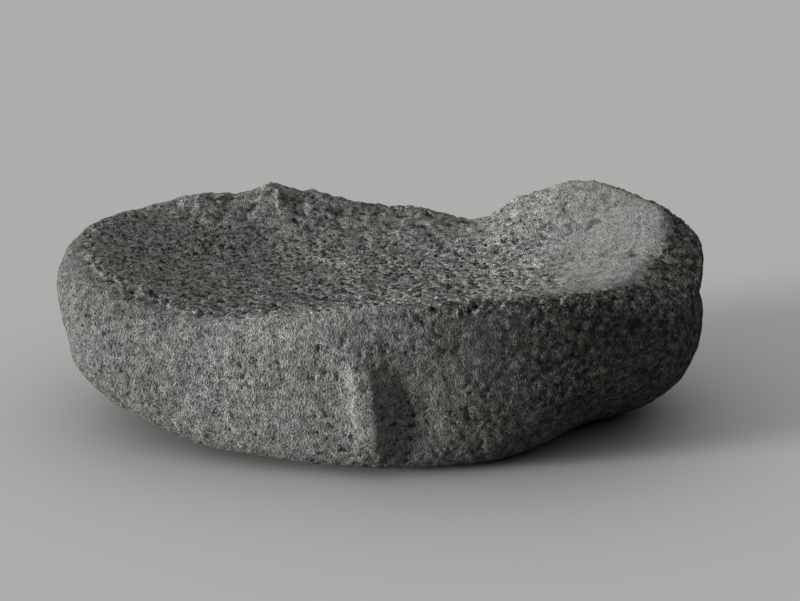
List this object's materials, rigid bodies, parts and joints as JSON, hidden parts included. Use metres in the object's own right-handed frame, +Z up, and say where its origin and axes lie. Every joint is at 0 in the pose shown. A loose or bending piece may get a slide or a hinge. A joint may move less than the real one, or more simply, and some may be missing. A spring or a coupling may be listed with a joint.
{
  "type": "saddle quern stone",
  "caption": "Thick boat-shaped slab of coarse grey rock with a shallow worn hollow in its top, for grinding grain by hand.",
  "frame": {"origin": "on the ground plane that the stone rests on, under the middle of its bounding box", "axes": "+X along the stone towards its higher end, +Y across it towards its back edge, +Z up"},
  "size_m": [0.398, 0.2122, 0.133],
  "materials": {
    "rock": "coarse grained, pitted and fully matt"
  },
  "bodies": {
    "root": {"quern_stone": "rock"}
  },
  "joints": []
}
